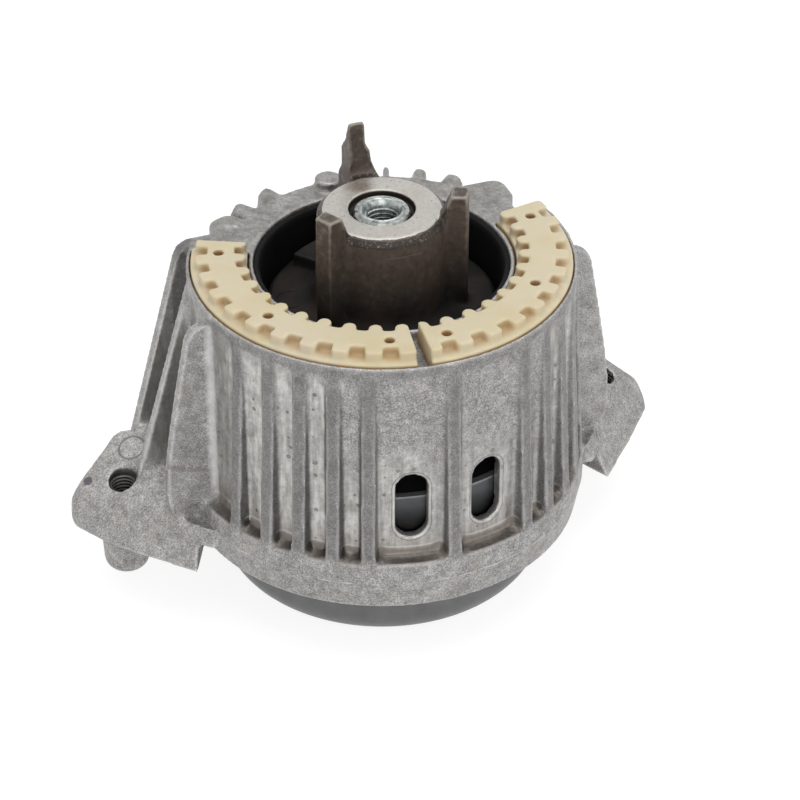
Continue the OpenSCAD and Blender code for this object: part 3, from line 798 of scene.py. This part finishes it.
def between(value, low, high):
    """0 below low, 1 above high, and a straight climb between."""
    return np.clip((value - low) / (high - low), 0.0, 1.0)


def from_ear_hole(p):
    """Distance from the axis of the nearer ear's hole."""
    return np.hypot(np.abs(p[:, 0]) - EAR_X, p[:, 1] - EAR_Y)


def housing_hollows(p):
    """Full at the gussets and at the feet of the flutes, a quarter in the flutes, none at openings."""
    sideways, height = np.abs(p[:, 0]), p[:, 2]
    radius = np.hypot(p[:, 0], p[:, 1])
    weight = between(radius, 66.0, 68.0) * (0.22 + 0.78 * between(sideways, 66.0, 70.0))
    window = (sideways < 26) & (p[:, 1] < -50) & (height > 50) & (height < 85)
    weight[window] = 0.0
    flute_feet = between(height, 50.2, 48.6) * between(height, 43.0, 44.5)
    return np.maximum(weight, flute_feet) * between(from_ear_hole(p), 7.5, 9.5)


def ear_rounding(p):
    """The lower, outer part of the ears, apart from their undersides and the holes' mouths."""
    sideways, height = np.abs(p[:, 0]), p[:, 2]
    reach = between(sideways, 78.0, 84.0) * between(height, 48.0, 45.0)
    under = between(height, 25.0, 30.0) + between(sideways, 104.0, 110.0)
    return reach * np.minimum(under, 1.0) * between(from_ear_hole(p), 7.5, 10.5)


def shape_housing(object_):
    shape_skin(object_, housing_hollows, hollow_passes=50, all_weight=ear_rounding, all_passes=26)


def everywhere(p):
    return np.ones(len(p))


def shape_pad(object_):
    shape_skin(object_, everywhere, hollow_passes=5, all_weight=everywhere, all_passes=5)


def core_hollows(p):
    """Everywhere but in the counterbore round the insert."""
    radius = np.hypot(p[:, 0], p[:, 1])
    return 1.0 - between(p[:, 2], CORE_FACE_Z - 7, CORE_FACE_Z - 4) * between(radius, 18.0, 14.0)


def shape_core(object_):
    shape_skin(object_, core_hollows, hollow_passes=70)


housing = soft_copy("housing", "cast_housing", voxel_mm=0.8, passes=5, most_triangles=190000,
                    edit=open_to_major, shape=shape_housing)
finished(housing, CAST, "cast_housing", "housing")
for side in ("left", "right"):
    pad = soft_copy("stop_pad_" + side, "pad_" + side, voxel_mm=0.42, passes=4, most_triangles=60000,
                    shape=shape_pad)
    finished(pad, CREAM, "cream_pad", "stop_pad_" + side)
core = soft_copy("core", "cast_core", voxel_mm=0.5, passes=3, most_triangles=110000, shape=shape_core)
finished(core, PRIMED, "cast_core", "core")

# %% [markdown]
# ## Rubber parts
#
# The cone that carries the load, the membrane and the diaphragm are moulded
# rubber, so each gets the same softening as a casting, with a finer skin for
# the thin ones. The lining of the throat is a plain turned form, and a lathe
# draws that better than voxels do: an outline is swept once round the axis.

# %% Lathe and rubber parts


def eased(outline, radius):
    """An outline with each corner cut by a short curve."""
    out = []
    for i, corner in enumerate(outline):
        here = Vector(corner)
        for side in (outline[i - 1], outline[(i + 1) % len(outline)]):
            toward = Vector(side) - here
            step = min(radius, toward.length * 0.45)
            out.append(here + toward.normalized() * step)
        middle = (out[-1] + out[-2]) / 2
        out.insert(-1, middle + (here - middle) * 0.45)
    return [(max(p.x, 0.0), p.y) for p in out]


def lathe(name, outline, steps=160):
    """A closed outline of (radius, height) in millimetres swept round the axis."""
    work = bmesh.new()
    rings = []
    for radius, height in outline:
        turn = [2 * math.pi * i / steps for i in range(steps)] if radius > 0.001 else [0.0]
        rings.append([work.verts.new((radius * MM * math.cos(t), radius * MM * math.sin(t), height * MM))
                      for t in turn])
    for i, ring in enumerate(rings):
        next_ring = rings[(i + 1) % len(rings)]
        for j in range(steps):
            k = (j + 1) % steps
            corners = [ring[j % len(ring)], ring[k % len(ring)], next_ring[k % len(next_ring)],
                       next_ring[j % len(next_ring)]]
            corners = [v for n, v in enumerate(corners) if v not in corners[:n]]
            if len(corners) > 2:
                work.faces.new(corners)
    bmesh.ops.recalc_face_normals(work, faces=work.faces)
    mesh = bpy.data.meshes.new(name)
    work.to_mesh(mesh)
    work.free()
    for polygon in mesh.polygons:
        polygon.use_smooth = True
    mesh.set_sharp_from_angle(angle=math.radians(40))
    return new_object(name, mesh)


RIM_Z = 127.6
THROAT_R = 46.6
LINING = [(THROAT_R - 0.12, 86.0), (THROAT_R - 0.12, RIM_Z - 1.2), (THROAT_R - 0.9, RIM_Z - 1.2),
          (THROAT_R - 1.9, RIM_Z - 1.5), (THROAT_R - 2.5, RIM_Z - 3.4), (THROAT_R - 2.3, 88.0),
          (THROAT_R - 2.3, 84.05), (THROAT_R + 3.9, 84.05), (THROAT_R + 3.9, 86.0)]
lining = lathe("rubber_lining", eased(LINING, 0.5))
finished(lining, RUBBER, "black_rubber", "throat_lining")
for node, name, voxel in (("main_spring", "rubber_cone", 0.9), ("decoupler_membrane", "rubber_membrane", 0.6),
                          ("rolling_diaphragm", "rubber_diaphragm", 0.6)):
    soft = soft_copy(node, name, voxel_mm=voxel, passes=4, most_triangles=40000)
    finished(soft, RUBBER, "black_rubber", node)

# %% [markdown]
# ## Threads
#
# A tapped thread is a helix cut into the wall of its hole, so it follows a
# rule and a node tree can draw it: a spiral carries a three-cornered profile,
# whose inner corner is the crest. One tree serves the two M10 holes in the
# ears and the M12 hole in the insert. The holes' walls stand at the thread's
# outer diameter, and the ridges fill in from there.

# %% Node trees


def new_tree(name, sockets):
    """An empty geometry tree with named inputs; returns it and its inputs."""
    tree = bpy.data.node_groups.new(name, "GeometryNodeTree")
    tree.interface.new_socket("Geometry", in_out="OUTPUT", socket_type="NodeSocketGeometry")
    for label, kind in sockets:
        tree.interface.new_socket(label, in_out="INPUT", socket_type="NodeSocket" + kind)
    return tree, add(tree, "NodeGroupInput").outputs


def grown(name, tree, values):
    """The result of a tree as a plain mesh object."""
    object_ = new_object(name, bpy.data.meshes.new(name))
    modifier = object_.modifiers.new("grow", "NODES")
    modifier.node_group = tree
    for socket in tree.interface.items_tree:
        if socket.in_out == "INPUT":
            modifier[socket.identifier] = values[socket.name]
    plain_mesh(object_)
    print(name, "has", len(object_.data.polygons), "faces")
    return object_


def end_tree(tree, geometry, material):
    """Ends a tree with real geometry in its material."""
    real = add(tree, "GeometryNodeRealizeInstances", {0: geometry})
    coated = add(tree, "GeometryNodeSetMaterial", {"Geometry": real, "Material": material})
    add(tree, "NodeGroupOutput", {0: coated})
    return tree


def swept(tree, curve, profile):
    """A capped profile along a curve, kept upright."""
    level = add(tree, "GeometryNodeSetCurveNormal", {"Curve": curve}, mode="Z_UP")
    return add(tree, "GeometryNodeCurveToMesh", {
        "Curve": level, "Profile Curve": profile.outputs["Curve"], "Fill Caps": True})


def thread_tree():
    tree, given = new_tree("tapped_thread", [
        ("Crest Radius", "Float"), ("Pitch", "Float"), ("Turns", "Float"), ("First Hole", "Vector"),
        ("Last Hole", "Vector"), ("Holes", "Int"), ("Material", "Material")])
    # A profile of three corners: one points at the axis, and the other two are 0.9 pitch apart
    reach = add(tree, MATH, {0: given["Pitch"], 1: 0.52}, operation="MULTIPLY")
    middle = add(tree, MATH, {0: given["Crest Radius"], 1: reach}, operation="ADD")
    height = add(tree, MATH, {0: given["Pitch"], 1: given["Turns"]}, operation="MULTIPLY")
    spiral = add(tree, "GeometryNodeCurveSpiral", {
        "Resolution": 28, "Rotations": given["Turns"], "Start Radius": middle, "End Radius": middle,
        "Height": height})
    profile = add(tree, "GeometryNodeCurvePrimitiveCircle", {"Resolution": 3, "Radius": reach})
    ridge = swept(tree, spiral, profile)
    holes = add(tree, "GeometryNodeMeshLine", {
        "Count": given["Holes"], "Start Location": given["First Hole"], "Offset": given["Last Hole"]},
        mode="END_POINTS")
    placed = add(tree, "GeometryNodeInstanceOnPoints", {"Points": holes, "Instance": ridge})
    return end_tree(tree, placed, given["Material"])


THREAD = thread_tree()
EAR_PITCH = 1.5
EAR_THREAD_FOOT = 12.5
CORE_MINOR_R = 5.1
CORE_PITCH = 1.75
CORE_THREAD_FOOT = 124.3

ear_threads = grown("ear_threads", THREAD, {
    "Crest Radius": EAR_MINOR_R * MM, "Pitch": EAR_PITCH * MM, "Turns": 19.0, "Holes": 2,
    "First Hole": (-EAR_X * MM, EAR_Y * MM, EAR_THREAD_FOOT * MM),
    "Last Hole": (EAR_X * MM, EAR_Y * MM, EAR_THREAD_FOOT * MM), "Material": CAST})
finished(ear_threads, CAST, "cast_housing")
core_thread = grown("insert_thread", THREAD, {
    "Crest Radius": CORE_MINOR_R * MM, "Pitch": CORE_PITCH * MM, "Turns": 12.6, "Holes": 1,
    "First Hole": (0.0, 0.0, CORE_THREAD_FOOT * MM),
    "Last Hole": (0.0, 0.0, CORE_THREAD_FOOT * MM), "Material": ZINC})
finished(core_thread, ZINC, "zinc_insert")

# %% [markdown]
# ## The insert
#
# The insert is turned from steel bar and pressed into the core, a little
# below its face. Pressing it in has raised a small bead round the mouth. It
# is drawn on the lathe, with the bead and a chamfer that leads the bolt in.

# %% Insert
INSERT_TOP = CORE_FACE_Z - 1.0
INSERT = [(10.4, 119.3), (10.4, INSERT_TOP - 0.7), (9.75, INSERT_TOP), (8.35, INSERT_TOP - 0.08),
          (8.1, INSERT_TOP + 0.22), (7.75, INSERT_TOP + 0.40), (7.35, INSERT_TOP + 0.30),
          (7.05, INSERT_TOP - 0.05), (5.95, INSERT_TOP - 1.9), (5.95, 123.3), (0.0, 123.3), (0.0, 119.3)]
insert = lathe("turned_insert", INSERT)
finished(insert, ZINC, "zinc_insert", "threaded_insert")

# %% [markdown]
# ## Marks that the dies leave
#
# Where two halves of a die meet, a thin flash line runs round the casting,
# and where a round plug sits in the die, its edge prints a plain ring. A
# stepped edge on the core's front is the same kind of mark. All of them are
# round wires, half sunk in the skin, so one tree draws them: an arc, moved a
# little by noise, with a round profile.

# %% Die marks


def wire_tree():
    tree, given = new_tree("die_mark", [
        ("Centre", "Vector"), ("Tilt", "Vector"), ("Radius", "Float"), ("From", "Float"),
        ("Sweep", "Float"), ("Thickness", "Float"), ("Wobble", "Float"), ("Seed", "Float"),
        ("Material", "Material")])
    arc = add(tree, "GeometryNodeCurveArc", {
        "Resolution": 240, "Radius": given["Radius"], "Start Angle": given["From"],
        "Sweep Angle": given["Sweep"]})
    here = add(tree, "GeometryNodeInputPosition")
    waves = add(tree, NOISE, {"Vector": here, "W": given["Seed"], "Scale": lumps(3.125), "Detail": 3.0},
                noise_dimensions="4D")
    centred = add(tree, VECTOR, {0: waves.outputs["Color"], 1: (0.5, 0.5, 0.5)}, operation="SUBTRACT")
    drift = add(tree, VECTOR, {0: centred, "Scale": given["Wobble"]}, operation="SCALE")
    moved = add(tree, "GeometryNodeSetPosition", {"Geometry": arc.outputs["Curve"], "Offset": drift})
    profile = add(tree, "GeometryNodeCurvePrimitiveCircle", {"Resolution": 6, "Radius": given["Thickness"]})
    wire = swept(tree, moved, profile)
    placed = add(tree, "GeometryNodeTransform",
                 {"Geometry": wire, "Translation": given["Centre"], "Rotation": given["Tilt"]})
    smooth = add(tree, "GeometryNodeSetShadeSmooth", {"Geometry": placed})
    return end_tree(tree, smooth, given["Material"])


WIRE = wire_tree()
FULL = 360
# The left ear's top falls by 0.39 along -X and rises by 0.258 along +Y
EAR_TILT = Vector((-0.39, -0.258, 1)).to_track_quat("Z", "Y").to_euler()
# Name, centre, tilt, radius, start and sweep in degrees, thickness, wobble, material
MARKS = (
    ("flash_line", (0, 0, 37.3), (0, 0, 0), 75.62, 199, 142, 0.26, 0.9, CAST),
    ("ear_plug_ring", (-90.6, 25.9, 48.5), EAR_TILT, 5.0, 0, FULL, 0.34, 0.15, CAST),
    ("core_plug_ring", (-32.2, 8.7, 111.95), (0, 0, 0), 5.4, 0, FULL, 0.30, 0.15, PRIMED),
    ("core_step_edge", (0, 0, 142.2), (0, 0, 0), 23.42, -107, 33, 0.22, 0.3, PRIMED),
)
for seed, (name, centre, tilt, radius, start, sweep, thick, wobble, material) in enumerate(MARKS):
    mark = grown(name, WIRE, {
        "Centre": tuple(v * MM for v in centre), "Tilt": tuple(tilt), "Radius": radius * MM,
        "From": math.radians(start), "Sweep": math.radians(sweep), "Thickness": thick * MM,
        "Wobble": wobble * MM, "Seed": float(seed), "Material": material})
    finished(mark, material, "cast_housing" if material is CAST else "cast_core")

# %% Materials on the solids that stay
for node, material in (("spring_ring", RING), ("orifice_plate_upper", POLYMER),
                       ("orifice_plate_lower", POLYMER), ("bottom_cap", CAP)):
    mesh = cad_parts[node].data
    mesh.materials.clear()
    mesh.materials.append(material)

# %% [markdown]
# ## Floor and light
#
# A product photograph like this one is lit by two broad soft boxes over a
# white table. The floor and the world look white to the camera and to
# reflections, and light the part only at a plain level.

# %% Floor, world and lamps
floor_data = bpy.data.meshes.new("floor")
floor_data.from_pydata([(-3, -3, 0), (3, -3, 0), (3, 3, 0), (-3, 3, 0)], [], [(0, 1, 2, 3)])
floor = new_object("floor", floor_data)
# A little below the cap's flat, so that the two faces don't lie in each other
floor.location.z = -0.0002


def seen_rays(tree):
    """1 for the rays that show the table and the world: from the camera, mirrored or refracted."""
    path = add(tree, "ShaderNodeLightPath").outputs
    seen = path["Is Camera Ray"]
    for other in (path["Is Glossy Ray"], path["Is Transmission Ray"]):
        seen = add(tree, MATH, {0: seen, 1: other}, operation="MAXIMUM")
    return seen


def floor_material():
    material, tree = new_material("white_table")
    matt = add(tree, "ShaderNodeBsdfDiffuse", {"Color": srgb("#f4f4f4")})
    # Seen straight on, the table glows a little, as an overexposed one does, so its shadow is faint
    faint = add(tree, "ShaderNodeBsdfDiffuse", {"Color": srgb("#9a9a9a")})
    glow = add(tree, "ShaderNodeEmission", {"Color": (1, 1, 1, 1), "Strength": 0.84})
    both = add(tree, "ShaderNodeAddShader", {0: faint, 1: glow})
    shader = add(tree, "ShaderNodeMixShader", {0: seen_rays(tree), 1: matt, 2: both})
    add(tree, OUTPUT, {0: shader})
    return material


floor_data.materials.append(floor_material())

world = bpy.data.worlds.new("studio")
bpy.context.scene.world = world
world.use_nodes = True
sky = world.node_tree
sky.nodes.clear()
plain = add(sky, "ShaderNodeBackground", {"Color": (1, 1, 1, 1), "Strength": 0.50})
white = add(sky, "ShaderNodeBackground", {"Color": (1, 1, 1, 1), "Strength": 1.0})
blend = add(sky, "ShaderNodeMixShader", {0: seen_rays(sky), 1: plain, 2: white})
add(sky, "ShaderNodeOutputWorld", {0: blend})


def soft_box(name, place, size, watts):
    """An area lamp that looks at the middle of the part."""
    data = bpy.data.lights.new(name, "AREA")
    data.shape = "RECTANGLE"
    data.size, data.size_y = size
    data.energy = watts
    lamp = new_object(name, data)
    lamp.location = place
    aim = Vector((0, 0, 0.08)) - Vector(place)
    lamp.rotation_mode = "QUATERNION"
    lamp.rotation_quaternion = aim.to_track_quat("-Z", "Y")


soft_box("top_box", (0.10, 0.05, 1.5), (1.3, 1.3), 7.8)
soft_box("front_box", (-0.50, -1.5, 0.8), (0.9, 0.9), 4.4)
soft_box("right_box", (1.2, -1.3, 0.6), (0.9, 0.9), 2.6)
bpy.context.scene.view_settings.view_transform = "Standard"

# %% [markdown]
# ## Sizes
#
# Dressing a part mustn't change its size.
